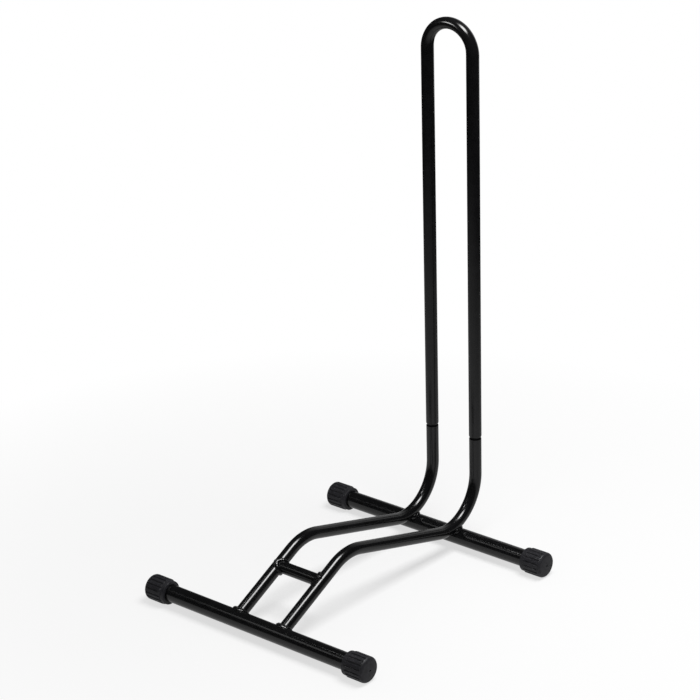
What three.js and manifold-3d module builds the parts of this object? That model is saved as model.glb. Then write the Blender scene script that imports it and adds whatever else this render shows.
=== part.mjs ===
import * as THREE from 'three';
import { mergeVertices } from 'three/addons/utils/BufferGeometryUtils.js';
import Module from 'manifold-3d';

// A floor rack for one bicycle wheel. Two base bars with rubber end caps lie on the floor, two bent side
// tubes are welded across them with a rung between, and a hairpin hoop plugs into the side tubes' tops.
// Millimetres. +X runs along the base bars, +Y from the front bar to the rear one, +Z up from the floor.

// Base bars
const barRadius = 12.5;
const barWall = 1.5;
const barLength = 393;
const rearBarY = 391;

// Side tubes. The crest corner is where the rising and the falling run would meet without the front bend, and
// the uprights stand straight behind the rear bar from the rear bend up to the socket's rim.
const sideTubeRadius = 9;
const sideTubeWall = 1.2;
const tubeSpacing = 80;
const crestY = 143;
const crestHeight = 91.5;
const frontBendRadius = 75;
const rearBendRadius = 69;
const uprightSetback = 42;
const uprightRun = 54.3;

// Cross rung, a little slimmer than the side tubes and placed along the rising run from the front bar's axis
const rungUndersize = 0.25;
const rungWall = 1.2;
const rungDistance = 100.5;

// Wheel hoop, with swaged ends: a rounded shoulder, a short flared neck and a spigot
const hoopRadius = 9.25;
const hoopWall = 1.2;
const rackHeight = 782;
const shoulderHeight = 2.2;
const neckHeight = 2.8;
const neckFlare = 0.5;
const spigotLength = 45;
const spigotChamfer = 1.5;

// Rubber end caps: a smooth collar, a grooved grip and a smooth domed end with a moulding pit
const capRadius = 18.5;
const capLength = 37;
const capEndWall = 4.7;
const collarStep = 1.3;
const collarLength = 6;
const collarEdge = 1;
const grooveCount = 18;
const grooveWidth = 2.6;
const grooveFloorWidth = 1.6;
const grooveDepth = 1.3;
const smoothEndLength = 6;
const capEdgeRadius = 5;
const capDomeHeight = 0.8;
const pitRadius = 1.1;
const pitDepth = 0.7;

// Weld beads
const frontWeldLeg = 4;
const rungWeldLeg = 3.6;
const rearWeldReach = 9;
const rearWeldHalfHeight = 4.5;
const rearContactRadius = 3.5;

// Clearances: between welded or coped pieces, and of the spigots in their sockets
const jointGap = 0.3;
const spigotGap = 0.3;

// Facets
const tubeSides = 20;
const barSides = 30;
const frontBendSteps = 6;
const rearBendSteps = 11;
const archSteps = 14;
const shoulderSteps = 3;
const capEdgeSteps = 4;
const weldSides = 8;
const weldSteps = 24;

// The caps' ribs have flat lands, and the bars' axes lie one cap radius above the floor.
const axisHeight = capRadius;
const collarRadius = capRadius - collarStep;
const rungRadius = sideTubeRadius - rungUndersize;
const riseAngle = Math.atan2(crestHeight - axisHeight, crestY);

// The rear bend rests on the rear bar: its centre is both radii, the bend and the gap away from the bar's axis.
const uprightY = rearBarY + uprightSetback;
const rearBendY = uprightY - rearBendRadius;
const bendToBar = rearBendRadius + sideTubeRadius + barRadius + jointGap;
const rearBendHeight = axisHeight + Math.sqrt(bendToBar ** 2 - (rearBarY - rearBendY) ** 2);
const contactLean = Math.asin((rearBarY - rearBendY) / bendToBar);
const socketHeight = rearBendHeight + uprightRun;

// The falling run leaves the crest corner along the tangent that passes under the rear bend's circle.
const cornerToBend = Math.hypot(rearBendY - crestY, rearBendHeight - crestHeight);
const cornerToBendAngle = Math.atan2(rearBendHeight - crestHeight, rearBendY - crestY);
const fallAngle = Math.asin(rearBendRadius / cornerToBend) - cornerToBendAngle;

const spigotRadius = sideTubeRadius - sideTubeWall - spigotGap;
const neckRadius = spigotRadius + neckFlare;
const neckTop = socketHeight + neckHeight;
const shoulderTop = neckTop + shoulderHeight;
const archHeight = rackHeight - hoopRadius - tubeSpacing / 2;

const manifold = await Module();
manifold.setup();

const towardX = new THREE.Vector3(1, 0, 0);
const towardZ = new THREE.Vector3(0, 0, 1);
const riseDirection = new THREE.Vector3(0, Math.cos(riseAngle), Math.sin(riseAngle));

// A tube's centre-line as a list of stations, each a point and the way the tube runs there.
class TubeLine extends THREE.Curve {
  constructor(stations) {
    super();
    this.stations = stations;
    this.steps = stations.length - 1;
  }

  getPointAt(share, target = new THREE.Vector3()) {
    return target.copy(this.stations[Math.round(share * this.steps)].point);
  }

  getTangentAt(share, target = new THREE.Vector3()) {
    return target.copy(this.stations[Math.round(share * this.steps)].direction);
  }
}

// Stations of a bend in a plane x = constant. turn is 1 for a bend that curls up and -1 for one that curls down.
function bendStations(x, centreY, centreZ, radius, fromAngle, toAngle, turn, steps) {
  const stations = [];
  for (let i = 0; i <= steps; i += 1) {
    const angle = THREE.MathUtils.lerp(fromAngle, toAngle, i / steps);
    const y = centreY + radius * Math.cos(angle);
    const z = centreZ + radius * Math.sin(angle);
    const direction = new THREE.Vector3(0, -turn * Math.sin(angle), turn * Math.cos(angle));
    stations.push({ point: new THREE.Vector3(x, y, z), direction });
  }
  return stations;
}

function sideTubeStations(x) {
  const cornerRun = frontBendRadius * Math.tan((riseAngle + fallAngle) / 2);
  const bendStartY = crestY - cornerRun * Math.cos(riseAngle);
  const bendStartZ = crestHeight - cornerRun * Math.sin(riseAngle);
  const crestCentreY = bendStartY + frontBendRadius * Math.sin(riseAngle);
  const crestCentreZ = bendStartZ - frontBendRadius * Math.cos(riseAngle);
  const quarter = Math.PI / 2;
  return [
    { point: new THREE.Vector3(x, 0, axisHeight), direction: riseDirection },
    ...bendStations(x, crestCentreY, crestCentreZ, frontBendRadius,
      quarter + riseAngle, quarter - fallAngle, -1, frontBendSteps),
    ...bendStations(x, rearBendY, rearBendHeight, rearBendRadius,
      -quarter - fallAngle, 0, 1, rearBendSteps),
    { point: new THREE.Vector3(x, uprightY, socketHeight), direction: towardZ },
  ];
}

// Heights along a hoop leg, from the spigot's tip to the top of the shoulder.
function legHeights() {
  const tip = socketHeight - spigotLength;
  const heights = [tip, tip + spigotChamfer, socketHeight, neckTop];
  for (let i = 1; i <= shoulderSteps; i += 1) {
    heights.push(neckTop + shoulderHeight * i / shoulderSteps);
  }
  return heights;
}

function hoopStations() {
  const x = tubeSpacing / 2;
  const down = new THREE.Vector3(0, 0, -1);
  const stations = [];
  for (const height of legHeights()) {
    stations.push({ point: new THREE.Vector3(-x, uprightY, height), direction: towardZ });
  }
  for (let i = 0; i <= archSteps; i += 1) {
    const angle = Math.PI * (1 - i / archSteps);
    const point = new THREE.Vector3(x * Math.cos(angle), uprightY, archHeight + x * Math.sin(angle));
    stations.push({ point, direction: new THREE.Vector3(Math.sin(angle), 0, -Math.cos(angle)) });
  }
  for (const height of legHeights().reverse()) {
    stations.push({ point: new THREE.Vector3(x, uprightY, height), direction: down });
  }
  return stations;
}

// A round section swept along the stations, hollow unless the bore is 0.
function sweep(stations, radius, bore, sides = tubeSides) {
  const section = new THREE.Shape().absarc(0, 0, radius, 0, 2 * Math.PI, false);
  if (bore > 0) {
    section.holes.push(new THREE.Path().absarc(0, 0, bore, 0, 2 * Math.PI, true));
  }
  const extrudePath = new TubeLine(stations);
  return new THREE.ExtrudeGeometry(section, {
    steps: extrudePath.steps,
    curveSegments: sides / 2,
    extrudePath,
  });
}

// A straight tube along X, centred on x = 0.
function straightTube(y, z, length, radius, bore, sides) {
  const stations = [-length / 2, length / 2].map((x) => (
    { point: new THREE.Vector3(x, y, z), direction: towardX }
  ));
  return sweep(stations, radius, bore, sides);
}

function toSolid(geometry) {
  const bare = geometry.clone();
  bare.deleteAttribute('normal');
  bare.deleteAttribute('uv');
  const merged = mergeVertices(bare);
  const corners = merged.index.array;
  const kept = [];
  for (let i = 0; i < corners.length; i += 3) {
    const [a, b, c] = corners.slice(i, i + 3);
    if (a !== b && b !== c && c !== a) {
      kept.push(a, b, c);
    }
  }
  return new manifold.Manifold(new manifold.Mesh({
    numProp: 3,
    vertProperties: new Float32Array(merged.attributes.position.array),
    triVerts: new Uint32Array(kept),
  }));
}

function toGeometry(solid) {
  const mesh = solid.getMesh();
  const geometry = new THREE.BufferGeometry();
  geometry.setAttribute('position', new THREE.BufferAttribute(mesh.vertProperties, 3));
  geometry.setIndex(new THREE.BufferAttribute(mesh.triVerts, 1));
  geometry.computeVertexNormals();
  return geometry;
}

// Solid rods a gap larger than the tubes, which cut the pieces that fit against those tubes.
function barEnvelope(y) {
  return toSolid(straightTube(y, axisHeight, barLength, barRadius + jointGap, 0, barSides));
}

function sideTubeEnvelope(side) {
  return toSolid(sweep(sideTubeStations(side * tubeSpacing / 2), sideTubeRadius + jointGap, 0));
}

function rungPlace() {
  const place = riseDirection.clone().multiplyScalar(rungDistance);
  place.z += axisHeight;
  return place;
}

function rungEnvelope() {
  const place = rungPlace();
  return toSolid(straightTube(place.y, place.z, tubeSpacing, rungRadius + jointGap, 0));
}

function baseBar(y) {
  return straightTube(y, axisHeight, barLength, barRadius, barRadius - barWall, barSides);
}

// The side tube's lower end is coped round the front bar.
function sideTube(side) {
  const stations = sideTubeStations(side * tubeSpacing / 2);
  const tube = toSolid(sweep(stations, sideTubeRadius, sideTubeRadius - sideTubeWall));
  return toGeometry(tube.subtract(barEnvelope(0)));
}

// The rung's ends are coped round both side tubes.
function crossRung() {
  const place = rungPlace();
  const rung = toSolid(straightTube(place.y, place.z, tubeSpacing, rungRadius, rungRadius - rungWall));
  return toGeometry(rung.subtract(sideTubeEnvelope(-1)).subtract(sideTubeEnvelope(1)));
}

// Outer radius of a hoop leg at a height: tube, rounded shoulder, flared neck, spigot and chamfered tip.
function legRadius(height) {
  if (height >= shoulderTop) {
    return hoopRadius;
  }
  if (height > neckTop) {
    const drop = (shoulderTop - height) / shoulderHeight;
    return neckRadius + (hoopRadius - neckRadius) * Math.sqrt(1 - drop ** 2);
  }
  if (height > socketHeight) {
    return spigotRadius + neckFlare * (height - socketHeight) / neckHeight;
  }
  const aboveTip = height - (socketHeight - spigotLength);
  return spigotRadius - Math.max(0, spigotChamfer - aboveTip) / 2;
}

// The hoop is swept as an even tube, and its ends are then swaged to the leg's radius at each height.
function wheelHoop() {
  const hoop = sweep(hoopStations(), hoopRadius, hoopRadius - hoopWall);
  const points = hoop.attributes.position;
  for (let i = 0; i < points.count; i += 1) {
    const height = points.getZ(i);
    if (height < shoulderTop) {
      const legX = Math.sign(points.getX(i)) * tubeSpacing / 2;
      const x = points.getX(i) - legX;
      const y = points.getY(i) - uprightY;
      const radius = Math.hypot(x, y);
      const onBore = radius < hoopRadius - hoopWall / 2;
      const swaged = legRadius(height) - (onBore ? hoopWall : 0);
      points.setX(i, legX + x * swaged / radius);
      points.setY(i, uprightY + y * swaged / radius);
    }
  }
  return hoop;
}

// A profile of [radius, x] pairs turned about X. The facets' middles lie on the radii, two to each groove.
function turned(profile) {
  const sides = 2 * grooveCount;
  const widening = 1 / Math.cos(Math.PI / sides);
  const points = profile.map(([radius, x]) => new THREE.Vector2(radius * widening, x));
  return new THREE.LatheGeometry(points, sides, Math.PI / sides).rotateZ(-Math.PI / 2);
}

// A cap in its own frame: the bar comes in from -X, and x = 0 is the cap's inner face.
function endCap() {
  const boreRadius = barRadius + jointGap;
  const edgeX = capLength - capDomeHeight - capEdgeRadius;
  const profile = [
    [0, capLength - capEndWall],
    [boreRadius, capLength - capEndWall],
    [boreRadius, 0],
    [collarRadius - collarEdge, 0],
    [collarRadius, collarEdge],
    [collarRadius, collarLength],
    [capRadius, collarLength + collarStep],
  ];
  for (let i = 0; i <= capEdgeSteps; i += 1) {
    const angle = Math.PI / 2 * i / capEdgeSteps;
    profile.push([
      capRadius - capEdgeRadius * (1 - Math.cos(angle)),
      edgeX + capEdgeRadius * Math.sin(angle),
    ]);
  }
  profile.push([pitRadius, capLength], [0, capLength - pitDepth]);
  return toGeometry(toSolid(turned(profile)).subtract(capGrooves()));
}

// Tapered grooves open to the collar and ending short of the domed end, with a rib straight up and one down.
function capGrooves() {
  const floor = capRadius - grooveDepth;
  const slope = (grooveWidth - grooveFloorWidth) / 2 / grooveDepth;
  const topWidth = grooveWidth + 2 * slope * grooveDepth;
  const outline = new THREE.Shape([
    new THREE.Vector2(-grooveFloorWidth / 2, floor),
    new THREE.Vector2(grooveFloorWidth / 2, floor),
    new THREE.Vector2(topWidth / 2, capRadius + grooveDepth),
    new THREE.Vector2(-topWidth / 2, capRadius + grooveDepth),
  ]);
  const depth = capLength - smoothEndLength - collarLength / 2;
  const groove = new THREE.ExtrudeGeometry(outline, { depth, bevelEnabled: false });
  groove.rotateY(Math.PI / 2).rotateX(Math.PI / 2).translate(collarLength / 2, 0, 0);
  let grooves = null;
  for (let i = 0; i < grooveCount; i += 1) {
    const copy = toSolid(groove.clone().rotateX(2 * Math.PI * (i + 0.5) / grooveCount));
    grooves = grooves ? grooves.add(copy) : copy;
  }
  return grooves;
}

// A bead round the curve where a branch tube meets a main tube. The branch leaves along Z, the main runs along X.
function branchBead(branchRadius, mainRadius, leg) {
  const bead = new THREE.TorusGeometry(branchRadius, leg, weldSides, weldSteps);
  const points = bead.attributes.position;
  for (let i = 0; i < points.count; i += 1) {
    const around = Math.atan2(points.getY(i), points.getX(i));
    const reach = Math.sqrt(mainRadius ** 2 - (branchRadius * Math.sin(around)) ** 2);
    points.setZ(i, points.getZ(i) + reach);
  }
  return bead;
}

function frontWeld(side) {
  const across = new THREE.Vector3().crossVectors(riseDirection, towardX);
  const pose = new THREE.Matrix4().makeBasis(towardX, across, riseDirection);
  pose.setPosition(side * tubeSpacing / 2, 0, axisHeight);
  const bead = toSolid(branchBead(sideTubeRadius, barRadius, frontWeldLeg).applyMatrix4(pose));
  return toGeometry(bead.subtract(barEnvelope(0)).subtract(sideTubeEnvelope(side)));
}

function rungWeld(side) {
  const inward = towardX.clone().multiplyScalar(-side);
  const across = new THREE.Vector3().crossVectors(inward, riseDirection);
  const pose = new THREE.Matrix4().makeBasis(riseDirection, across, inward);
  const place = rungPlace();
  pose.setPosition(side * tubeSpacing / 2, place.y, place.z);
  const bead = toSolid(branchBead(rungRadius, sideTubeRadius, rungWeldLeg).applyMatrix4(pose));
  return toGeometry(bead.subtract(rungEnvelope()).subtract(sideTubeEnvelope(side)));
}

// The rear weld fills the crevice round the spot where the side tube's bend rests on the rear bar.
function rearWeld(side) {
  const contact = barRadius + jointGap / 2;
  const pose = new THREE.Matrix4().makeRotationX(contactLean);
  pose.setPosition(side * tubeSpacing / 2, rearBarY - contact * Math.sin(contactLean),
    axisHeight + contact * Math.cos(contactLean));
  const pool = new THREE.SphereGeometry(1, weldSteps, weldSides);
  pool.scale(rearWeldReach, rearWeldReach, rearWeldHalfHeight);
  const spot = new THREE.CylinderGeometry(rearContactRadius, rearContactRadius, rearWeldHalfHeight, weldSteps);
  spot.rotateX(Math.PI / 2);
  const ring = toSolid(pool.applyMatrix4(pose)).subtract(toSolid(spot.applyMatrix4(pose)));
  return toGeometry(ring.subtract(barEnvelope(rearBarY)).subtract(sideTubeEnvelope(side)));
}

const paint = { color: 0x0c0c0d, roughness: 0.22, metalness: 0.1 };
const weldPaint = { color: 0x0e0e0f, roughness: 0.3, metalness: 0.1 };
const rubber = { color: 0x232325, roughness: 0.72, metalness: 0 };

function piece(name, geometry, finish) {
  const mesh = new THREE.Mesh(geometry, new THREE.MeshStandardMaterial(finish));
  mesh.name = name;
  return mesh;
}

// A bar with a cap on each end; the caps turn about Z so that a rib stays under both of them.
function barAssembly(name, y) {
  const group = new THREE.Group();
  group.add(piece(`${name}_base_bar`, baseBar(y), paint));
  const capStart = barLength / 2 + jointGap + capEndWall - capLength;
  for (const [sideName, side] of [['left', -1], ['right', 1]]) {
    const cap = piece(`${name}_${sideName}_end_cap`, endCap(), rubber);
    cap.position.set(side * capStart, y, axisHeight);
    cap.rotation.z = side > 0 ? 0 : Math.PI;
    group.add(cap);
  }
  return group;
}

function sideAssembly(sideName, side) {
  const group = new THREE.Group();
  group.add(piece(`${sideName}_side_tube`, sideTube(side), paint));
  group.add(piece(`front_${sideName}_weld`, frontWeld(side), weldPaint));
  group.add(piece(`rung_${sideName}_weld`, rungWeld(side), weldPaint));
  group.add(piece(`rear_${sideName}_weld`, rearWeld(side), weldPaint));
  return group;
}

// The origin lies on the floor under the middle of the rack's length, width and depth.
const rack = new THREE.Group();
rack.position.y = -(uprightY + hoopRadius - capRadius) / 2;
rack.add(barAssembly('front', 0));
rack.add(barAssembly('rear', rearBarY));
rack.add(sideAssembly('left', -1));
rack.add(sideAssembly('right', 1));
rack.add(piece('cross_rung', crossRung(), paint));
rack.add(piece('wheel_hoop', wheelHoop(), paint));

export default new THREE.Group().add(rack);
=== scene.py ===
import math

import bmesh
import bpy
from bpy.props import FloatProperty, FloatVectorProperty, IntProperty, PointerProperty
from bpy.types import Operator, Panel, PropertyGroup
from mathutils import Matrix, Vector, noise


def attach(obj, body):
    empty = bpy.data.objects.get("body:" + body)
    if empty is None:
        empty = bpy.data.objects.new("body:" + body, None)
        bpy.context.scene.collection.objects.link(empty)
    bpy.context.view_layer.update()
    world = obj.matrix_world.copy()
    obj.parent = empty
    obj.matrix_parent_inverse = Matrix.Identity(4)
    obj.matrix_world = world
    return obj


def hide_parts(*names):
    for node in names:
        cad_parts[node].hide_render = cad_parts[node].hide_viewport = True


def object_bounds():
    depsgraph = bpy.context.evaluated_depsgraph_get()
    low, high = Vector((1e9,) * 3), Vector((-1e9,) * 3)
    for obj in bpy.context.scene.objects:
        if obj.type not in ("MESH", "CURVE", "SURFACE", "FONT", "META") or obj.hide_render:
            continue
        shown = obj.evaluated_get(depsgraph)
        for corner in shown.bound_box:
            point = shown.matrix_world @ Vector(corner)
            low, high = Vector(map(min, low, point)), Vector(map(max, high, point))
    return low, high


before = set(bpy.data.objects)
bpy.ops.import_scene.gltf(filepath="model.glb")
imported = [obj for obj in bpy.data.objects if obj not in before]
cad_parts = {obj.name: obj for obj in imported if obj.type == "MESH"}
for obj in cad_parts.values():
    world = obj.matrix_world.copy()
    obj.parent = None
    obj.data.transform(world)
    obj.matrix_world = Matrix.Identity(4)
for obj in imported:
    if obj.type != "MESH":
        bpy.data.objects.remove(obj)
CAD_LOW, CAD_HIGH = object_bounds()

# A floor rack that holds one bicycle wheel. Two base bars with rubber end caps lie on the floor, two bent
# side tubes are welded across them with a rung between, and a tall hairpin hoop plugs into the side tubes'
# open tops. Metres. +X runs along the base bars, +Y from the front bar to the rear one, and +Z up.

bl_info = {
    "name": "Floor bike rack",
    "version": (1, 0, 0),
    "blender": (4, 5, 0),
    "location": "3D View > Sidebar > Bike Rack",
    "description": "Builds the visible pieces of a welded tube rack for one bicycle wheel",
    "category": "Add Mesh",
}

TOWARD_X = Vector((1, 0, 0))
TOWARD_Y = Vector((0, 1, 0))
TOWARD_Z = Vector((0, 0, 1))
QUARTER = math.pi / 2
FULL_TURN = 2 * math.pi

# How finely the meshes are drawn, and how alike two places or faces count as one
TUBE_SIDES = 64
BEND_STEP = math.radians(2.5)
CAP_STEPS = 216
RIB_CUTS = 44
COLLAR_ROUND_STEPS = 4
CAP_EDGE_STEPS = 12
CAP_DOME_STEPS = 6
SHOULDER_STEPS = 7
RIM_ROUND_STEPS = 2
BEAD_STEPS = 144
BEAD_SIDES = 20
LENS_STEPS = 48
MERGE = 1e-6
SHARP = math.radians(32)
FACING_UP = 0.9

# Fits, and the hoop's swaged ends. HOLD is how far a ring of edges lies from a rounded end, so that the
# end's shading doesn't spread along the straight run.
JOINT_GAP = 0.0003
SPIGOT_GAP = 0.0003
NECK_FLARE = 0.0005
NECK_HEIGHT = 0.0028
SHOULDER_HEIGHT = 0.0022
SPIGOT_CHAMFER = 0.0015
RIM_ROUND = 0.00025
HOLD = 0.0008

# The hoop's arch: how much its bend flattens the tube, how far out that moves it, and the sine of the angle
# up the arch at which it is complete
ARCH_PRESS = 0.10
ARCH_SHIFT = 0.0003
ARCH_PRESS_FULL = 0.5

# End caps. The pit's mouth and bottom are shares of its radius.
CAP_END_WALL = 0.0047
COLLAR_STEP = 0.0013
COLLAR_LENGTH = 0.006
COLLAR_ROUND = 0.0009
GROOVE_DEPTH = 0.0013
GROOVE_HALF_WIDTH = 0.0013
GROOVE_WALL = 0.0006
SMOOTH_END = 0.0045
CAP_EDGE_RADIUS = 0.005
CAP_DOME = 0.0008
PIT_RADIUS = 0.0013
PIT_DEPTH = 0.0016
PIT_MOUTH = 1.25
PIT_BOTTOM = 0.85

# Weld beads, rippled round a joint or lumpy under the side tubes. BEAD_BURIED is a share of the leg, and the
# swell, drift and ripple depth are shares of the bead's own section.
BEAD_BURIED = 0.35
BEAD_SWELL = 1.04
BEAD_DRIFT = 0.10
DRIFT_SCALE = 1.7
RIPPLE_PITCH = 0.0019
RIPPLE_DEPTH = 0.035
RIPPLE_WANDER = 0.7
WANDER_WAVES = 3
RUNG_BEAD_SHARE = 0.9
FRONT_BEAD_SEED = 3.1
RUNG_BEAD_SEED = 6.4
LENS_REACH = 0.0095
LENS_HALF_HEIGHT = 0.0055
LUMP_SHARE = 0.09
LUMP_SCALE = 420
LUMP_SEED = 5

# Finishes. Most values of a noise lie in NOISE_RANGE.
COATING_IOR = 1.5
NOISE_RANGE = (0.3, 0.7)
RUST = (0.09, 0.045, 0.025)

# Stage. FLOOR_WHITE is the floor's share of plain white, near and far. FROM_TO are the distances from the
# origin between which that share or a card's GLOW changes, and a card's HALF is half its width and half its
# depth or height.
FLOOR_RADIUS = 30
FLOOR_WHITE = (0.6, 1)
FLOOR_WHITE_FROM_TO = (0.1, 0.9)
ROOM_RADIUS = 3
ROOM_HEIGHT = 4
ROOM_LIFT = 0.001
ROOM_GLOW = (0.05, 0.03)
ROOM_FROM_TO = (1, 3)
CLOTH_LIFT = 0.0005
CLOTH_GLOW = (0.52, 0.02)
CLOTH_FROM_TO = (0.25, 1.55)
ROUND_STEPS = 96
ONLY_REFLECTED = ("camera", "diffuse", "transmission", "volume_scatter", "shadow")
FADE_START = 0.3
BACK_CARD_HALF = (1.6, 1.6)
BACK_CARD_PLACE = (-1.0, 2.3, 1.62)
BACK_CARD_GLOW = (0.55, 0.08)
BACK_CARD_FROM_TO = (2.4, 3.9)
STRIP_HALF = (0.125, 0.45)
STRIP_PLACE = (-1.42, -1.45, 1.66)
STRIP_GLOW = (1.6, 1.6)
STRIP_FROM_TO = (2.4, 3.9)
HOOP_CARD_HALF = (0.22, 0.12)
HOOP_CARD_PLACE = (-0.391, -0.36, 1.067)
HOOP_CARD_TURN = math.radians(-34)
HOOP_CARD_GLOW = 18
SOFTBOX_CLOTH_HALF = (0.8, 0.85)
SOFTBOX_CLOTH_PLACE = (0.63, -0.02, 2.585)
SOFTBOX_CLOTH_GLOW = 21
LAMP_SIZE = (0.75, 1.05)
LAMP_PLACE = (0.45, 0.22, 1.75)
CAMERA_LENS = 137.868
CAMERA_PLACE = (2.24616, -2.58021, 1.74019)
CAMERA_TURN_DEGREES = (68.00697, 1.35945, 40.54384)


def measure(name, description, default):
    return FloatProperty(name=name, description=description, default=default, unit="LENGTH")


def tint(name, description, default):
    return FloatVectorProperty(
        name=name, description=description, default=default, subtype="COLOR", min=0, max=1)


class RackSizes(PropertyGroup):
    bar_radius: measure("Bar radius", "Outer radius of the base bars", 0.0125)
    bar_wall: measure("Bar wall", "Wall of the base bars", 0.0015)
    bar_length: measure("Bar length", "Length of each base bar", 0.393)
    bar_spacing: measure("Bar spacing", "From the front bar's axis to the rear one's", 0.391)
    tube_radius: measure("Side tube radius", "Outer radius of the side tubes", 0.009)
    tube_wall: measure("Tube wall", "Wall of the side tubes, the rung and the hoop", 0.0012)
    tube_spacing: measure("Tube spacing", "Between the two side tubes' axes", 0.080)
    crest_run: measure("Crest run", "From the front bar back to the crest corner", 0.143)
    crest_height: measure("Crest height", "Height of the crest corner above the floor", 0.0915)
    crest_bend: measure("Crest bend", "Centre-line radius of the front bend", 0.075)
    rear_bend: measure("Rear bend", "Centre-line radius of the rear bend", 0.069)
    upright_setback: measure("Upright setback", "From the rear bar's axis back to the uprights", 0.042)
    upright_run: measure("Upright run", "Straight length of the uprights above the rear bend", 0.0543)
    rung_radius: measure("Rung radius", "Outer radius of the cross rung", 0.00875)
    rung_distance: measure(
        "Rung distance", "Along the rising run from the front bar's axis to the rung", 0.1005)
    hoop_radius: measure("Hoop tube radius", "Outer radius of the wheel hoop's tube", 0.00925)
    spigot_length: measure("Spigot length", "Depth of the hoop's ends in the side tubes", 0.045)
    cap_radius: measure("Cap radius", "Radius over the end caps' ribs", 0.0185)
    cap_length: measure("Cap length", "Length of the rubber end caps", 0.037)
    groove_count: IntProperty(
        name="Grooves", description="Grooves round each end cap", default=18, min=6, max=36)
    weld_leg: measure("Weld leg", "How far a weld bead reaches along each tube", 0.004)


class RackFinishes(PropertyGroup):
    paint: tint("Powder coat", "Colour of the gloss black powder coat", (0.0042, 0.0042, 0.0046))
    rubber: tint("Cap rubber", "Colour of the moulded end caps", (0.019, 0.0188, 0.0222))
    steel: tint("Bare steel", "Colour of the unpainted bores", (0.16, 0.155, 0.15))
    gloss: FloatProperty(
        name="Paint roughness", description="Roughness of the powder coat's surface", default=0.17,
        min=0, max=1)


class RackStage(PropertyGroup):
    floor_colour: tint("Floor", "Colour of the pale floor", (0.97, 0.97, 0.97))
    softbox: FloatProperty(
        name="Softbox", description="Brightness of the softbox above the rack", default=10.5, min=0)
    fill: FloatProperty(
        name="Fill", description="Brightness of the light from all round", default=0.22, min=0)


class Places:
    """Where the rack's pieces meet, worked out from the sizes."""

    def __init__(self, sizes):
        self.front_y = CAD_LOW.y + sizes.cap_radius
        self.rear_y = self.front_y + sizes.bar_spacing
        self.axis_height = sizes.cap_radius
        self.upright_y = self.rear_y + sizes.upright_setback
        self.tube_x = sizes.tube_spacing / 2

        climb = sizes.crest_height - self.axis_height
        self.rise_angle = math.atan2(climb, sizes.crest_run)
        self.rise = Vector((0, math.cos(self.rise_angle), math.sin(self.rise_angle)))

        reach = sizes.rear_bend + sizes.tube_radius + sizes.bar_radius + JOINT_GAP
        back = sizes.rear_bend - sizes.upright_setback
        bend_y = self.upright_y - sizes.rear_bend
        self.bend_height = self.axis_height + math.sqrt(reach ** 2 - back ** 2)
        self.contact_lean = math.asin(back / reach)
        self.socket_height = self.bend_height + sizes.upright_run

        run = bend_y - self.front_y - sizes.crest_run
        drop = sizes.crest_height - self.bend_height
        corner_to_bend = math.hypot(run, drop)
        self.fall_angle = math.asin(sizes.rear_bend / corner_to_bend) + math.atan2(drop, run)
        corner = sizes.crest_bend * math.tan((self.rise_angle + self.fall_angle) / 2)
        self.rise_length = math.hypot(climb, sizes.crest_run) - corner
        self.fall_length = math.sqrt(corner_to_bend ** 2 - sizes.rear_bend ** 2) - corner

        self.foot = Vector((0, self.front_y, self.axis_height))
        self.rung = self.foot + self.rise * sizes.rung_distance
        self.spigot_radius = sizes.tube_radius - sizes.tube_wall - SPIGOT_GAP
        self.neck_radius = self.spigot_radius + NECK_FLARE
        self.arch_height = CAD_HIGH.z - sizes.hoop_radius - self.tube_x


# Tubes

class TubeSweep:
    """A tube's skin, drawn by carrying an open ring of edges along straight runs and round bends."""

    def __init__(self, bm, point, direction, radius):
        self.bm = bm
        self.point = point.copy()
        self.direction = direction.normalized()
        place = Matrix.Translation(point) @ self.direction.to_track_quat("Z", "Y").to_matrix().to_4x4()
        made = bmesh.ops.create_circle(bm, segments=TUBE_SIDES, radius=radius, matrix=place)
        self.radius = radius
        self.verts = made["verts"]
        self.start = list(self.verts)

    def rim(self):
        ring = set(self.verts)
        return [e for v in self.verts for e in v.link_edges
                if v == e.verts[0] and e.other_vert(v) in ring]

    def straight(self, length):
        made = bmesh.ops.extrude_edge_only(self.bm, edges=self.rim())
        self.verts = [v for v in made["geom"] if isinstance(v, bmesh.types.BMVert)]
        step = self.direction * length
        bmesh.ops.translate(self.bm, verts=self.verts, vec=step)
        self.point += step

    def bend(self, axis, radius, angle):
        centre = self.point + axis.cross(self.direction) * radius
        steps = max(1, round(angle / BEND_STEP))
        made = bmesh.ops.spin(
            self.bm, geom=self.verts + self.rim(), cent=centre, axis=axis, angle=angle, steps=steps,
            use_merge=False)
        self.verts = [v for v in made["geom_last"] if isinstance(v, bmesh.types.BMVert)]
        turn = Matrix.Rotation(angle, 3, axis)
        self.point = centre + turn @ (self.point - centre)
        self.direction = turn @ self.direction

    def swage(self, radius):
        factor = radius / self.radius
        bmesh.ops.scale(
            self.bm, vec=(factor, factor, 1), verts=self.verts, space=Matrix.Translation(-self.point))
        self.radius = radius


def give_wall(bm, wall):
    """Turns a tube's skin into a wall, inwards from the skin."""
    bmesh.ops.remove_doubles(bm, verts=bm.verts, dist=MERGE)
    bmesh.ops.recalc_face_normals(bm, faces=bm.faces)
    bmesh.ops.solidify(bm, geom=bm.faces[:], thickness=wall)


def cope(verts, direction, axis_point, axis, radius):
    """Slides the vertices along the direction on to the far side of a round bar."""
    across = direction - axis * direction.dot(axis)
    for vert in verts:
        offset = vert.co - axis_point
        offset -= axis * offset.dot(axis)
        a = across.length_squared
        b = offset.dot(across)
        c = offset.length_squared - radius ** 2
        vert.co += direction * ((-b + math.sqrt(max(b * b - a * c, 0))) / a)


def smooth_step(low, high, value):
    share = min(1, max(0, (value - low) / (high - low)))
    return share * share * (3 - 2 * share)


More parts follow.
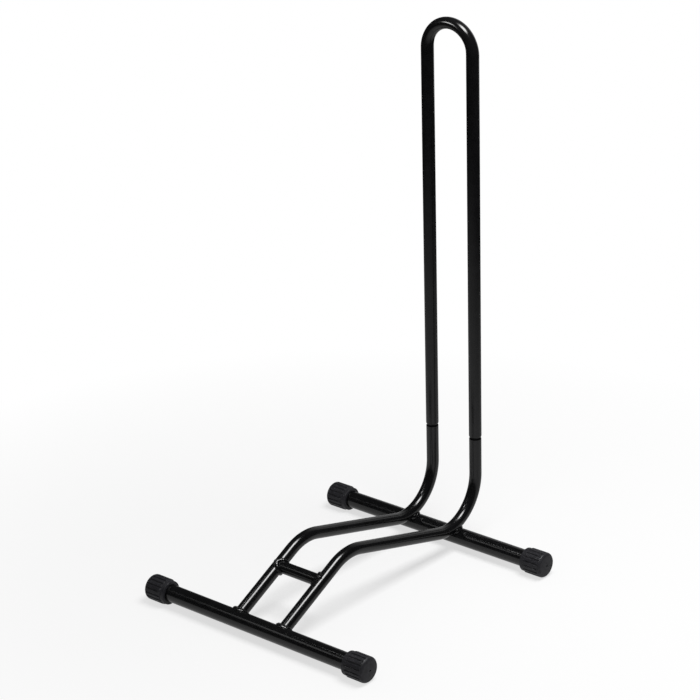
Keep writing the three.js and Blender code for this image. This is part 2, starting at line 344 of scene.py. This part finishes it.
def second_finish(bm, picked):
    """Gives the second material to the faces that the test picks out."""
    for face in bm.faces:
        if picked(face):
            face.material_index = 1


def finish_piece(name, bm, body, nodes, materials):
    """Makes the finished object, which sits at the origin and stands for its CAD nodes."""
    for face in bm.faces:
        face.smooth = True
    for edge in bm.edges:
        if len(edge.link_faces) == 2 and edge.calc_face_angle() > SHARP:
            edge.smooth = False
    mesh = bpy.data.meshes.new(name)
    bm.to_mesh(mesh)
    bm.free()
    for material in materials:
        mesh.materials.append(material)
    piece = bpy.data.objects.new(name, mesh)
    bpy.context.scene.collection.objects.link(piece)
    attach(piece, body)
    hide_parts(*nodes)


# Finishes

def new_material(name):
    material = bpy.data.materials.new(name)
    material.use_nodes = True
    tree = material.node_tree
    tree.nodes.clear()
    output = tree.nodes.new("ShaderNodeOutputMaterial")
    shader = tree.nodes.new("ShaderNodeBsdfPrincipled")
    tree.links.new(shader.outputs["BSDF"], output.inputs["Surface"])
    return material, tree, shader


def object_place(tree):
    return tree.nodes.new("ShaderNodeTexCoord").outputs["Object"]


def object_noise(tree, scale, detail, roughness=0.5):
    grain = tree.nodes.new("ShaderNodeTexNoise")
    grain.inputs["Scale"].default_value = scale
    grain.inputs["Detail"].default_value = detail
    grain.inputs["Roughness"].default_value = roughness
    tree.links.new(object_place(tree), grain.inputs["Vector"])
    return grain.outputs["Fac"]


def spread(tree, value, taken, given):
    """Stretches the value's taken range over the given one."""
    node = tree.nodes.new("ShaderNodeMapRange")
    node.inputs["From Min"].default_value = taken[0]
    node.inputs["From Max"].default_value = taken[1]
    node.inputs["To Min"].default_value = given[0]
    node.inputs["To Max"].default_value = given[1]
    tree.links.new(value, node.inputs["Value"])
    return node.outputs["Result"]


def cloudy_colour(tree, shader, grain, taken, first, second, most=1):
    """Mixes up to that share of the second colour into the first, in soft clouds."""
    node = tree.nodes.new("ShaderNodeMix")
    node.data_type = "RGBA"
    tree.links.new(spread(tree, grain, taken, (0, most)), node.inputs["Factor"])
    node.inputs["A"].default_value = (*first, 1)
    node.inputs["B"].default_value = (*second, 1)
    tree.links.new(node.outputs["Result"], shader.inputs["Base Color"])


def uneven_gloss(tree, shader, grain, low, high):
    tree.links.new(spread(tree, grain, NOISE_RANGE, (low, high)), shader.inputs["Roughness"])


def bump(tree, shader, height, strength, distance, before=None):
    node = tree.nodes.new("ShaderNodeBump")
    node.inputs["Strength"].default_value = strength
    node.inputs["Distance"].default_value = distance
    tree.links.new(height, node.inputs["Height"])
    if before is not None:
        tree.links.new(before, node.inputs["Normal"])
    tree.links.new(node.outputs["Normal"], shader.inputs["Normal"])
    return node.outputs["Normal"]


def shade(colour, factor):
    return tuple(min(1, part * factor) for part in colour)


def powder_coat(finishes):
    """Gloss black powder coat: near-black, a faint orange peel and slightly uneven gloss."""
    material, tree, shader = new_material("gloss_black_powder_coat")
    colour = tuple(finishes.paint)
    clouds = object_noise(tree, scale=60, detail=3)
    cloudy_colour(tree, shader, clouds, (0.35, 0.65), shade(colour, 0.8), shade(colour, 1.25))
    patches = object_noise(tree, scale=95, detail=2)
    uneven_gloss(tree, shader, patches, low=finishes.gloss * 0.93, high=finishes.gloss * 1.08)
    shader.inputs["IOR"].default_value = COATING_IOR
    peel = bump(tree, shader, object_noise(tree, scale=300, detail=2), strength=0.12, distance=0.00004)
    bump(tree, shader, object_noise(tree, scale=2600, detail=1), strength=0.05, distance=0.00001,
         before=peel)
    return material


def neck_coat_with_painted_shade(finishes):
    """The thin, dull coat on the hoop's spigots and necks, darker and less glossy than the powder coat. On
    the necks that darkness is painted shade for the recess between the shoulder and the socket's rim.
    """
    material, tree, shader = new_material("spigot_coat_with_painted_neck_shade")
    # Darker than the powder coat, and with the weak reflection below duller too: painted shade for the
    # neck's recess.
    colour = shade(tuple(finishes.paint), 0.6)
    clouds = object_noise(tree, scale=150, detail=4)
    cloudy_colour(tree, shader, clouds, (0.35, 0.65), colour, shade(colour, 1.8))
    uneven_gloss(tree, shader, object_noise(tree, scale=260, detail=3), low=0.5, high=0.66)
    shader.inputs["IOR"].default_value = COATING_IOR
    shader.inputs["Specular IOR Level"].default_value = 0.15
    bump(tree, shader, object_noise(tree, scale=1800, detail=2), strength=0.2, distance=0.00002)
    return material


def cap_rubber(finishes):
    """Matte moulded rubber: charcoal, cloudy and finely pitted."""
    material, tree, shader = new_material("moulded_cap_rubber")
    colour = tuple(finishes.rubber)
    clouds = object_noise(tree, scale=170, detail=5, roughness=0.6)
    cloudy_colour(tree, shader, clouds, (0.32, 0.68), shade(colour, 0.78), shade(colour, 1.3))
    uneven_gloss(tree, shader, object_noise(tree, scale=320, detail=3), low=0.42, high=0.54)
    shader.inputs["IOR"].default_value = COATING_IOR
    shader.inputs["Specular IOR Level"].default_value = 0.28
    pits = object_noise(tree, scale=900, detail=3, roughness=0.6)
    coarse = bump(tree, shader, pits, strength=0.35, distance=0.00006)
    bump(tree, shader, object_noise(tree, scale=4200, detail=2), strength=0.3, distance=0.00002,
         before=coarse)
    return material


def bare_bore(finishes):
    """The unpainted inside of a tube: dull drawn steel with a bloom of rust."""
    material, tree, shader = new_material("bare_steel_bore")
    bloom = object_noise(tree, scale=240, detail=6, roughness=0.65)
    cloudy_colour(tree, shader, bloom, (0.5, 0.72), tuple(finishes.steel), RUST, most=0.7)
    shader.inputs["Metallic"].default_value = 0.85
    uneven_gloss(tree, shader, object_noise(tree, scale=500, detail=3), low=0.42, high=0.62)
    bump(tree, shader, object_noise(tree, scale=1500, detail=3), strength=0.3, distance=0.00003)
    return material


def finish_named(name, make):
    """The rack's material of that name, made the first time a piece asks for it."""
    return bpy.data.materials.get(name) or make(bpy.context.scene.rack_finishes)


def paint():
    return finish_named("gloss_black_powder_coat", powder_coat)


# The dull coat, whose darkness on the necks is painted shade.
def neck_paint_with_painted_shade():
    return finish_named("spigot_coat_with_painted_neck_shade", neck_coat_with_painted_shade)


def rubber():
    return finish_named("moulded_cap_rubber", cap_rubber)


def steel():
    return finish_named("bare_steel_bore", bare_bore)


# Pieces

class RACK_OT_base_bars(Operator):
    """Adds the two straight bars that lie across the floor"""
    bl_idname = "rack.base_bars"
    bl_label = "Base bars"

    def execute(self, context):
        sizes = context.scene.rack_sizes
        places = Places(sizes)
        for name, y in (("front", places.front_y), ("rear", places.rear_y)):
            bm = bmesh.new()
            start = Vector((-sizes.bar_length / 2, y, places.axis_height))
            tube = TubeSweep(bm, start, TOWARD_X, sizes.bar_radius)
            tube.straight(sizes.bar_length)
            give_wall(bm, sizes.bar_wall)
            node = f"{name}_base_bar"
            finish_piece(f"{name}_bar", bm, "base", [node], [paint()])
        return {"FINISHED"}


def socket_rim(bm, height):
    """The edges round the socket's mouth that get rounded, inside and outside."""
    level = [e for e in bm.edges if all(abs(v.co.z - height) < MERGE for v in e.verts)]
    return [e for e in level
            if not all(len(f.verts) == 4 and f.normal.z > FACING_UP for f in e.link_faces)]


class RACK_OT_side_tubes(Operator):
    """Adds the two bent side tubes with their open sockets"""
    bl_idname = "rack.side_tubes"
    bl_label = "Side tubes"

    def execute(self, context):
        sizes = context.scene.rack_sizes
        places = Places(sizes)
        for name, side in (("left", -1), ("right", 1)):
            bm = bmesh.new()
            start = places.foot + TOWARD_X * side * places.tube_x
            tube = TubeSweep(bm, start, places.rise, sizes.tube_radius)
            tube.straight(places.rise_length)
            tube.bend(-TOWARD_X, sizes.crest_bend, places.rise_angle + places.fall_angle)
            tube.straight(places.fall_length)
            tube.bend(TOWARD_X, sizes.rear_bend, QUARTER + places.fall_angle)
            tube.straight(sizes.upright_run - HOLD)
            tube.straight(HOLD)
            cope(tube.start, places.rise, places.foot, TOWARD_X, sizes.bar_radius)
            give_wall(bm, sizes.tube_wall)
            inner = sizes.tube_radius - sizes.tube_wall / 2
            top = places.socket_height - MERGE

            def in_socket(face):
                centre = face.calc_center_median()
                away = math.hypot(centre.x - start.x, centre.y - places.upright_y)
                return places.bend_height < centre.z < top and away < inner

            second_finish(bm, in_socket)
            bmesh.ops.bevel(
                bm, geom=socket_rim(bm, places.socket_height), offset=RIM_ROUND,
                segments=RIM_ROUND_STEPS, profile=0.5, affect="EDGES", material=-1)
            node = f"{name}_side_tube"
            finish_piece(f"{name}_tube", bm, "base", [node], [paint(), steel()])
        return {"FINISHED"}


class RACK_OT_cross_rung(Operator):
    """Adds the short rung between the rising runs"""
    bl_idname = "rack.cross_rung"
    bl_label = "Cross rung"

    def execute(self, context):
        sizes = context.scene.rack_sizes
        places = Places(sizes)
        bm = bmesh.new()
        offset = TOWARD_X * places.tube_x
        tube = TubeSweep(bm, places.rung - offset, TOWARD_X, sizes.rung_radius)
        tube.straight(sizes.tube_spacing)
        cope(tube.start, TOWARD_X, places.rung - offset, places.rise, sizes.tube_radius)
        cope(tube.verts, -TOWARD_X, places.rung + offset, places.rise, sizes.tube_radius)
        give_wall(bm, sizes.tube_wall)
        finish_piece("rung", bm, "base", ["cross_rung"], [paint()])
        return {"FINISHED"}


def swaged_end(sizes, places):
    """The hoop's end as (length, radius) steps, from the spigot's chamfer to the full tube."""
    steps = [(SPIGOT_CHAMFER, places.spigot_radius),
             (sizes.spigot_length - SPIGOT_CHAMFER, places.spigot_radius),
             (NECK_HEIGHT, places.neck_radius)]
    for i in range(SHOULDER_STEPS):
        share = (i + 1) / SHOULDER_STEPS
        swell = (sizes.hoop_radius - places.neck_radius) * math.sin(QUARTER * share)
        lift = math.cos(QUARTER * i / SHOULDER_STEPS) - math.cos(QUARTER * share)
        steps.append((SHOULDER_HEIGHT * lift, places.neck_radius + swell))
    return steps


def press_arch(bm, places):
    """Flattens the tube across the arch, as its bend does."""
    for vert in bm.verts:
        lift = vert.co.z - places.arch_height
        if lift > 0:
            reach = math.hypot(vert.co.x, lift)
            share = smooth_step(0, ARCH_PRESS_FULL, lift / reach)
            pressed = (reach - places.tube_x) * (1 - ARCH_PRESS * share) + ARCH_SHIFT * share
            vert.co.x *= (places.tube_x + pressed) / reach
            vert.co.z = places.arch_height + lift * (places.tube_x + pressed) / reach


class RACK_OT_wheel_hoop(Operator):
    """Adds the tall hairpin hoop with its swaged ends"""
    bl_idname = "rack.wheel_hoop"
    bl_label = "Wheel hoop"

    def execute(self, context):
        sizes = context.scene.rack_sizes
        places = Places(sizes)
        bm = bmesh.new()
        tip_height = places.socket_height - sizes.spigot_length
        tip_radius = places.spigot_radius - SPIGOT_CHAMFER / 2
        start = Vector((-places.tube_x, places.upright_y, tip_height))
        steps = swaged_end(sizes, places)
        tube = TubeSweep(bm, start, TOWARD_Z, tip_radius)
        for length, radius in steps:
            tube.straight(length)
            tube.swage(radius)
        leg = places.arch_height - tube.point.z - HOLD
        tube.straight(HOLD)
        tube.straight(leg)
        tube.bend(TOWARD_Y, places.tube_x, math.pi)
        tube.straight(leg)
        tube.straight(HOLD)
        press_arch(bm, places)
        radii_before = [tip_radius] + [radius for _, radius in steps]
        for (length, _), radius in reversed(list(zip(steps, radii_before))):
            tube.straight(length)
            tube.swage(radius)
        give_wall(bm, sizes.tube_wall)
        neck_top = places.socket_height + NECK_HEIGHT
        # The necks and spigots get the dull coat. On the necks its darkness is painted shade for the recess
        # above the socket's rim.
        second_finish(bm, lambda face: face.calc_center_median().z < neck_top)
        finish_piece(
            "hoop_tube", bm, "hoop", ["wheel_hoop"], [paint(), neck_paint_with_painted_shade()])
        return {"FINISHED"}


def cap_profile(sizes):
    """Half the cap's section as (along, radius) points, from the bore's end to the pit in the domed face."""
    length = sizes.cap_length
    bore = sizes.bar_radius + JOINT_GAP
    collar = sizes.cap_radius - COLLAR_STEP
    points = [(length - CAP_END_WALL, 0), (length - CAP_END_WALL, bore), (0, bore)]
    for i in range(COLLAR_ROUND_STEPS + 1):
        angle = QUARTER * i / COLLAR_ROUND_STEPS
        points.append((COLLAR_ROUND * (1 - math.cos(angle)), collar - COLLAR_ROUND * (1 - math.sin(angle))))
    points.append((COLLAR_LENGTH, collar))
    points.append((COLLAR_LENGTH + COLLAR_STEP, sizes.cap_radius))
    edge_start = length - CAP_DOME - CAP_EDGE_RADIUS
    for i in range(CAP_EDGE_STEPS + 1):
        angle = QUARTER * i / CAP_EDGE_STEPS
        points.append((edge_start + CAP_EDGE_RADIUS * math.sin(angle),
                       sizes.cap_radius - CAP_EDGE_RADIUS * (1 - math.cos(angle))))
    rim = sizes.cap_radius - CAP_EDGE_RADIUS
    for i in range(1, CAP_DOME_STEPS):
        share = i / CAP_DOME_STEPS
        below_top = CAP_DOME * (1 - share * (2 - share))
        points.append((length - below_top, rim + (PIT_RADIUS - rim) * share))
    points.append((length, PIT_RADIUS * PIT_MOUTH))
    points.append((length - PIT_DEPTH, PIT_RADIUS * PIT_BOTTOM))
    points.append((length - PIT_DEPTH, 0))
    return points


def turn_cap(sizes):
    """The cap before its grooves, turned from its section about +X."""
    bm = bmesh.new()
    verts = [bm.verts.new((along, 0, radius)) for along, radius in cap_profile(sizes)]
    edges = [bm.edges.new(pair) for pair in zip(verts, verts[1:])]
    collar = sizes.cap_radius - COLLAR_STEP
    ribs = max((e for e in edges if e.verts[0].co.z > collar), key=lambda e: e.calc_length())
    bmesh.ops.subdivide_edges(bm, edges=[ribs], cuts=RIB_CUTS)
    bmesh.ops.spin(
        bm, geom=bm.verts[:] + bm.edges[:], cent=(0, 0, 0), axis=TOWARD_X, angle=FULL_TURN,
        steps=CAP_STEPS, use_merge=True)
    bmesh.ops.remove_doubles(bm, verts=bm.verts, dist=MERGE)
    return bm


def press_grooves(bm, sizes):
    """Sinks the grooves between the ribs, open to the collar and rounded off before the domed end."""
    pitch = FULL_TURN / sizes.groove_count
    floor = sizes.cap_radius - GROOVE_DEPTH
    round_start = sizes.cap_length - SMOOTH_END - GROOVE_HALF_WIDTH
    wall_foot = GROOVE_HALF_WIDTH - GROOVE_WALL
    wall_top = GROOVE_HALF_WIDTH + GROOVE_WALL / 2
    for vert in bm.verts:
        radius = math.hypot(vert.co.y, vert.co.z)
        if radius <= floor or vert.co.x < COLLAR_LENGTH - MERGE:
            continue
        around = math.atan2(vert.co.y, vert.co.z) / pitch - 0.5
        across = abs(around - round(around)) * pitch * sizes.cap_radius
        past = max(0, vert.co.x - round_start)
        sink = 1 - smooth_step(wall_foot, wall_top, math.hypot(across, past))
        sunk = radius - min(GROOVE_DEPTH, radius - floor) * sink
        vert.co.y *= sunk / radius
        vert.co.z *= sunk / radius


class RACK_OT_end_caps(Operator):
    """Adds the four ribbed rubber caps on the base bars' ends"""
    bl_idname = "rack.end_caps"
    bl_label = "End caps"

    def execute(self, context):
        sizes = context.scene.rack_sizes
        places = Places(sizes)
        inner = sizes.bar_length / 2 + JOINT_GAP + CAP_END_WALL - sizes.cap_length
        for end, y in (("front", places.front_y), ("rear", places.rear_y)):
            for name, side in (("left", -1), ("right", 1)):
                bm = turn_cap(sizes)
                press_grooves(bm, sizes)
                place = Matrix.Translation((side * inner, y, places.axis_height))
                if side < 0:
                    place = place @ Matrix.Rotation(math.pi, 4, "Z")
                bmesh.ops.transform(bm, matrix=place, verts=bm.verts)
                bmesh.ops.recalc_face_normals(bm, faces=bm.faces)
                node = f"{end}_{name}_end_cap"
                finish_piece(f"{end}_{name}_cap", bm, "base", [node], [rubber()])
        return {"FINISHED"}


def weld_ring(branch_radius, main_radius, leg, seed):
    """A rippled bead round the curve where a branch tube meets a main tube. The branch leaves along +Z from
    the main tube, which runs along X, and the bead's inner side is buried in both."""
    bm = bmesh.new()
    buried = leg * BEAD_BURIED
    section = math.hypot(leg + buried, buried)
    turn = Matrix.Rotation(QUARTER, 4, "X")
    place = Matrix.Translation((branch_radius - buried, 0, -buried)) @ turn
    bmesh.ops.create_circle(bm, segments=BEAD_SIDES, radius=section, matrix=place)
    bmesh.ops.spin(
        bm, geom=bm.verts[:] + bm.edges[:], cent=(0, 0, 0), axis=TOWARD_Z, angle=FULL_TURN,
        steps=BEAD_STEPS, use_merge=True)
    bmesh.ops.remove_doubles(bm, verts=bm.verts, dist=MERGE)
    ripples = round(FULL_TURN * branch_radius / RIPPLE_PITCH)
    for vert in bm.verts:
        around = math.atan2(vert.co.y, vert.co.x)
        core = Vector((math.cos(around), math.sin(around), 0)) * (branch_radius - buried)
        core.z = -buried
        wander = RIPPLE_WANDER * math.sin(WANDER_WAVES * around + seed)
        wave = 0.5 + 0.5 * math.cos(ripples * around + wander)
        drift = noise.noise(Vector((math.cos(around), math.sin(around), seed)) * DRIFT_SCALE)
        swell = BEAD_SWELL + BEAD_DRIFT * drift - RIPPLE_DEPTH * (1 - wave) ** 2
        vert.co = core + (vert.co - core) * swell
        vert.co.z += math.sqrt(main_radius ** 2 - (branch_radius * math.sin(around)) ** 2)
    return bm


def weld_lens(side):
    """The flat, lumpy bead between a side tube and the rear bar under it."""
    bm = bmesh.new()
    bmesh.ops.create_uvsphere(bm, u_segments=LENS_STEPS, v_segments=LENS_STEPS // 2, radius=1)
    bmesh.ops.scale(bm, vec=(LENS_REACH, LENS_REACH, LENS_HALF_HEIGHT), verts=bm.verts)
    for vert in bm.verts:
        lump = noise.noise(vert.co * LUMP_SCALE + TOWARD_X * side * LUMP_SEED)
        vert.co *= 1 + LUMP_SHARE * lump
    return bm


def joint_place(spot, along, out):
    """A place at the spot whose X runs along the main tube and whose Z runs out along the branch."""
    return Matrix.Translation(spot) @ Matrix((along, out.cross(along), out)).transposed().to_4x4()


class RACK_OT_weld_beads(Operator):
    """Adds the weld beads at the front bar, the rung and the rear bar"""
    bl_idname = "rack.weld_beads"
    bl_label = "Weld beads"

    def execute(self, context):
        sizes = context.scene.rack_sizes
        places = Places(sizes)
        lean = places.contact_lean
        contact = sizes.bar_radius + JOINT_GAP / 2
        for name, side in (("left", -1), ("right", 1)):
            offset = TOWARD_X * side * places.tube_x
            front = weld_ring(sizes.tube_radius, sizes.bar_radius, sizes.weld_leg, FRONT_BEAD_SEED + side)
            self.add(front, joint_place(places.foot + offset, TOWARD_X, places.rise), f"front_{name}")

            leg = sizes.weld_leg * RUNG_BEAD_SHARE
            rung = weld_ring(sizes.rung_radius, sizes.tube_radius, leg, RUNG_BEAD_SEED + side)
            inward = -TOWARD_X * side
            self.add(rung, joint_place(places.rung + offset, places.rise, inward), f"rung_{name}")

            spot = Vector((offset.x, places.rear_y - contact * math.sin(lean),
                           places.axis_height + contact * math.cos(lean)))
            place = Matrix.Translation(spot) @ Matrix.Rotation(lean, 4, "X")
            self.add(weld_lens(side), place, f"rear_{name}")
        return {"FINISHED"}

    def add(self, bm, place, name):
        bmesh.ops.transform(bm, matrix=place, verts=bm.verts)
        bmesh.ops.recalc_face_normals(bm, faces=bm.faces)
        finish_piece(f"{name}_bead", bm, "base", [f"{name}_weld"], [paint()])


# Stage

def card_material(name, build):
    material = bpy.data.materials.new(name)
    material.use_nodes = True
    tree = material.node_tree
    tree.nodes.clear()
    output = tree.nodes.new("ShaderNodeOutputMaterial")
    tree.links.new(build(tree), output.inputs["Surface"])
    material.cycles.emission_sampling = "NONE"
    return material


def seen_by_eye_or_gloss(tree):
    """1 where a ray comes from the camera, a reflection or glass, 0 where it only carries light."""
    path = tree.nodes.new("ShaderNodeLightPath")
    seen = path.outputs["Is Camera Ray"]
    for ray in ("Is Glossy Ray", "Is Transmission Ray"):
        either = tree.nodes.new("ShaderNodeMath")
        either.operation = "MAXIMUM"
        tree.links.new(seen, either.inputs[0])
        tree.links.new(path.outputs[ray], either.inputs[1])
        seen = either.outputs["Value"]
    return seen


def vector_step(tree, operation, vector, other=(0, 0, 0)):
    node = tree.nodes.new("ShaderNodeVectorMath")
    node.operation = operation
    node.inputs[1].default_value = other
    tree.links.new(vector, node.inputs[0])
    return node.outputs["Value" if operation == "LENGTH" else "Vector"]


def glow(tree, strength):
    node = tree.nodes.new("ShaderNodeEmission")
    tree.links.new(strength, node.inputs["Strength"])
    return node.outputs["Emission"]


def pale_floor(stage):
    """Pale floor that is lit where the rack stands and plain white further out."""
    def build(tree):
        lit = tree.nodes.new("ShaderNodeBsdfDiffuse")
        lit.inputs["Color"].default_value = (*stage.floor_colour, 1)
        white = tree.nodes.new("ShaderNodeEmission")
        away = vector_step(tree, "LENGTH", object_place(tree))
        share = tree.nodes.new("ShaderNodeMath")
        share.operation = "MULTIPLY"
        tree.links.new(spread(tree, away, FLOOR_WHITE_FROM_TO, FLOOR_WHITE), share.inputs[0])
        tree.links.new(seen_by_eye_or_gloss(tree), share.inputs[1])
        mix = tree.nodes.new("ShaderNodeMixShader")
        tree.links.new(share.outputs["Value"], mix.inputs["Fac"])
        tree.links.new(lit.outputs["BSDF"], mix.inputs[1])
        tree.links.new(white.outputs["Emission"], mix.inputs[2])
        return mix.outputs["Shader"]
    return card_material("pale_floor", build)


def glowing(name, strengths, distances):
    """A card whose brightness runs from one strength to the other between two distances."""
    def build(tree):
        away = vector_step(tree, "LENGTH", object_place(tree))
        return glow(tree, spread(tree, away, distances, strengths))
    return card_material(name, build)


def soft_edged(name, strength, centre, half_size):
    """A card that is bright in the middle and fades out towards its edges."""
    def build(tree):
        offset = vector_step(tree, "SUBTRACT", object_place(tree), centre)
        in_halves = vector_step(tree, "DIVIDE", offset, half_size)
        fade = spread(tree, vector_step(tree, "LENGTH", in_halves), (FADE_START, 1), (strength, 0))
        fade.node.interpolation_type = "SMOOTHSTEP"
        return glow(tree, fade)
    material = card_material(name, build)
    material.cycles.emission_sampling = "FRONT_BACK"
    return material


def add_card(name, bm, material, unseen_by=ONLY_REFLECTED):
    """A piece of the stage, which only reflections see unless told otherwise."""
    mesh = bpy.data.meshes.new(name)
    bm.to_mesh(mesh)
    bm.free()
    mesh.materials.append(material)
    card = bpy.data.objects.new(name, mesh)
    bpy.context.scene.collection.objects.link(card)
    for kind in unseen_by:
        setattr(card, f"visible_{kind}", False)


def add_disc(name, radius, height, material, unseen_by=ONLY_REFLECTED):
    bm = bmesh.new()
    place = Matrix.Translation((0, 0, height))
    bmesh.ops.create_circle(bm, cap_ends=True, segments=ROUND_STEPS, radius=radius, matrix=place)
    add_card(name, bm, material, unseen_by)


def add_flat_card(name, half_size, place, material, upright=False, turn=0):
    """A flat card, level or upright, turned about Z and put in its place."""
    bm = bmesh.new()
    bmesh.ops.create_grid(bm, x_segments=1, y_segments=1, size=1)
    bmesh.ops.scale(bm, vec=(*half_size, 1), verts=bm.verts)
    if upright:
        bmesh.ops.rotate(bm, verts=bm.verts, matrix=Matrix.Rotation(QUARTER, 3, "X"))
    bmesh.ops.rotate(bm, verts=bm.verts, matrix=Matrix.Rotation(turn, 3, "Z"))
    bmesh.ops.translate(bm, verts=bm.verts, vec=place)
    add_card(name, bm, material)


def add_room():
    """The dark room and floor cloth that the black paint reflects."""
    bm = bmesh.new()
    bmesh.ops.create_cone(
        bm, cap_ends=True, segments=ROUND_STEPS, radius1=ROOM_RADIUS, radius2=ROOM_RADIUS,
        depth=ROOM_HEIGHT)
    underside = [f for f in bm.faces if f.normal.z < -FACING_UP]
    bmesh.ops.delete(bm, geom=underside, context="FACES")
    bmesh.ops.translate(bm, verts=bm.verts, vec=TOWARD_Z * (ROOM_HEIGHT / 2 + ROOM_LIFT))
    add_card("dark_room", bm, glowing("dark_room", ROOM_GLOW, ROOM_FROM_TO))
    cloth = glowing("dark_floor_cloth", CLOTH_GLOW, CLOTH_FROM_TO)
    add_disc("dark_floor_cloth", ROOM_RADIUS, CLOTH_LIFT, cloth)


def add_lit_cards():
    """The pale and bright cards that give the paint its streaks."""
    back = glowing("pale_back_card", BACK_CARD_GLOW, BACK_CARD_FROM_TO)
    add_flat_card("pale_back_card", BACK_CARD_HALF, BACK_CARD_PLACE, back, upright=True)
    strip = glowing("side_strip", STRIP_GLOW, STRIP_FROM_TO)
    add_flat_card("side_strip", STRIP_HALF, STRIP_PLACE, strip)
    width, height = HOOP_CARD_HALF
    hoop = soft_edged("hoop_card", HOOP_CARD_GLOW, HOOP_CARD_PLACE, (width, width, height))
    add_flat_card("hoop_card", HOOP_CARD_HALF, HOOP_CARD_PLACE, hoop, upright=True, turn=HOOP_CARD_TURN)
    cloth = soft_edged(
        "softbox_cloth", SOFTBOX_CLOTH_GLOW, SOFTBOX_CLOTH_PLACE, (*SOFTBOX_CLOTH_HALF, 1))
    add_flat_card("softbox_cloth", SOFTBOX_CLOTH_HALF, SOFTBOX_CLOTH_PLACE, cloth)


def add_lamp(stage):
    """The softbox's light, which reflections don't see, because the softbox's cloth stands for it there."""
    softbox = bpy.data.lights.new("softbox", "AREA")
    softbox.shape = "RECTANGLE"
    softbox.size, softbox.size_y = LAMP_SIZE
    softbox.energy = stage.softbox * math.pi * softbox.size * softbox.size_y
    lamp = bpy.data.objects.new("softbox", softbox)
    lamp.location = LAMP_PLACE
    lamp.visible_glossy = False
    bpy.context.scene.collection.objects.link(lamp)


def add_world(stage):
    """A white backdrop to the eye and to gloss, and a dim fill light from all round."""
    world = bpy.data.worlds.new("studio")
    bpy.context.scene.world = world
    world.use_nodes = True
    tree = world.node_tree
    tree.nodes.clear()
    output = tree.nodes.new("ShaderNodeOutputWorld")
    sky = tree.nodes.new("ShaderNodeBackground")
    sky.inputs["Color"].default_value = (1, 1, 1, 1)
    strength = spread(tree, seen_by_eye_or_gloss(tree), (0, 1), (stage.fill, 1))
    tree.links.new(strength, sky.inputs["Strength"])
    tree.links.new(sky.outputs["Background"], output.inputs["Surface"])


def add_camera():
    camera = bpy.data.cameras.new("camera")
    camera.lens = CAMERA_LENS
    camera.sensor_width = 36
    camera.clip_end = 2 * FLOOR_RADIUS
    eye = bpy.data.objects.new("camera", camera)
    eye.location = CAMERA_PLACE
    eye.rotation_euler = [math.radians(angle) for angle in CAMERA_TURN_DEGREES]
    bpy.context.scene.collection.objects.link(eye)
    bpy.context.scene.camera = eye


class RACK_OT_stage(Operator):
    """Adds the pale floor, the softbox, the studio's cards and the camera"""
    bl_idname = "rack.stage"
    bl_label = "Stage"

    def execute(self, context):
        stage = context.scene.rack_stage
        add_disc("floor", FLOOR_RADIUS, 0, pale_floor(stage), unseen_by=())
        add_room()
        add_lit_cards()
        add_lamp(stage)
        add_world(stage)
        add_camera()
        context.scene.view_settings.view_transform = "Standard"
        return {"FINISHED"}


class RACK_PT_builder(Panel):
    """Lists the rack's sizes, finishes and pieces"""
    bl_idname = "RACK_PT_builder"
    bl_label = "Floor bike rack"
    bl_space_type = "VIEW_3D"
    bl_region_type = "UI"
    bl_category = "Bike Rack"

    def draw(self, context):
        scene = context.scene
        for settings in (scene.rack_sizes, scene.rack_finishes, scene.rack_stage):
            box = self.layout.box()
            for name in settings.__annotations__:
                box.prop(settings, name)
        for operator in PIECES:
            self.layout.operator(operator.bl_idname)


SETTINGS = {"rack_sizes": RackSizes, "rack_finishes": RackFinishes, "rack_stage": RackStage}
PIECES = (RACK_OT_base_bars, RACK_OT_side_tubes, RACK_OT_cross_rung, RACK_OT_wheel_hoop, RACK_OT_end_caps,
          RACK_OT_weld_beads, RACK_OT_stage)
CLASSES = (*SETTINGS.values(), *PIECES, RACK_PT_builder)


def register():
    for cls in CLASSES:
        bpy.utils.register_class(cls)
    for name, cls in SETTINGS.items():
        setattr(bpy.types.Scene, name, PointerProperty(type=cls))


def unregister():
    for name in SETTINGS:
        delattr(bpy.types.Scene, name)
    for cls in reversed(CLASSES):
        bpy.utils.unregister_class(cls)


def main():
    register()
    bpy.ops.rack.base_bars()
    bpy.ops.rack.side_tubes()
    bpy.ops.rack.cross_rung()
    bpy.ops.rack.wheel_hoop()
    bpy.ops.rack.end_caps()
    bpy.ops.rack.weld_beads()
    bpy.ops.rack.stage()


if __name__ == "__main__":
    main()
